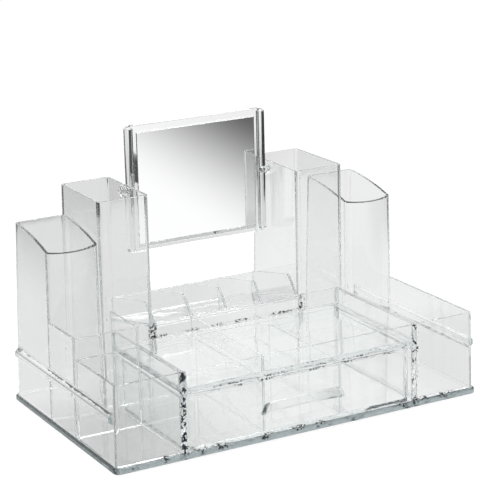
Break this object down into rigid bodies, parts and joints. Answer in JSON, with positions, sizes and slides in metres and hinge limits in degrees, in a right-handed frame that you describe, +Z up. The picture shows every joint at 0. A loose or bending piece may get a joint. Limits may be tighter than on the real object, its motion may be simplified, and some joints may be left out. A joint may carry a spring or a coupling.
{
  "type": "makeup organizer with mirror",
  "caption": "Clear plastic make-up organizer: open bins and towers on a base plate, trays over a sliding drawer, a sloping rack and a mirror that turns between the towers.",
  "frame": {"origin": "centre of the base plate's underside, half-way between the outer side walls", "axes": "+X to the right seen from the front, +Y from the drawer front to the rear, +Z up"},
  "size_m": [0.3158, 0.2116, 0.2132],
  "materials": {
    "clear_plastic": "clear, polished polystyrene",
    "mirror_silver": "silvered",
    "backing_sheet": "grey protective paint"
  },
  "bodies": {
    "organizer": {"base_plate": "clear_plastic", "left_bin": "clear_plastic", "right_bin": "clear_plastic", "left_tower": "clear_plastic", "right_tower": "clear_plastic", "front_tier": "clear_plastic", "rear_tier": "clear_plastic", "right_box": "clear_plastic", "drawer_housing": "clear_plastic", "tray_divider": "clear_plastic", "compact_rack": "clear_plastic", "rack_dividers": "clear_plastic", "rack_end_cheeks": "clear_plastic", "left_grip_bead": "clear_plastic", "right_grip_bead": "clear_plastic"},
    "drawer": {"drawer_box": "clear_plastic", "drawer_dividers": "clear_plastic", "drawer_pull": "clear_plastic"},
    "mirror": {"mirror_frame": "clear_plastic", "left_mirror_rail": "clear_plastic", "right_mirror_rail": "clear_plastic", "mirror_plate": "mirror_silver", "mirror_backing": "backing_sheet", "left_pivot_pin": "clear_plastic", "right_pivot_pin": "clear_plastic"}
  },
  "joints": [
    {"name": "drawer_slide", "type": "slide", "parent": "organizer", "child": "drawer", "axis": [0, -1, 0], "range_m": [0, 0.085]},
    {"name": "mirror_tilt", "type": "hinge", "parent": "organizer", "child": "mirror", "pos_m": [0, 0.0652, 0.1617], "axis": [1, 0, 0], "continuous": true}
  ]
}
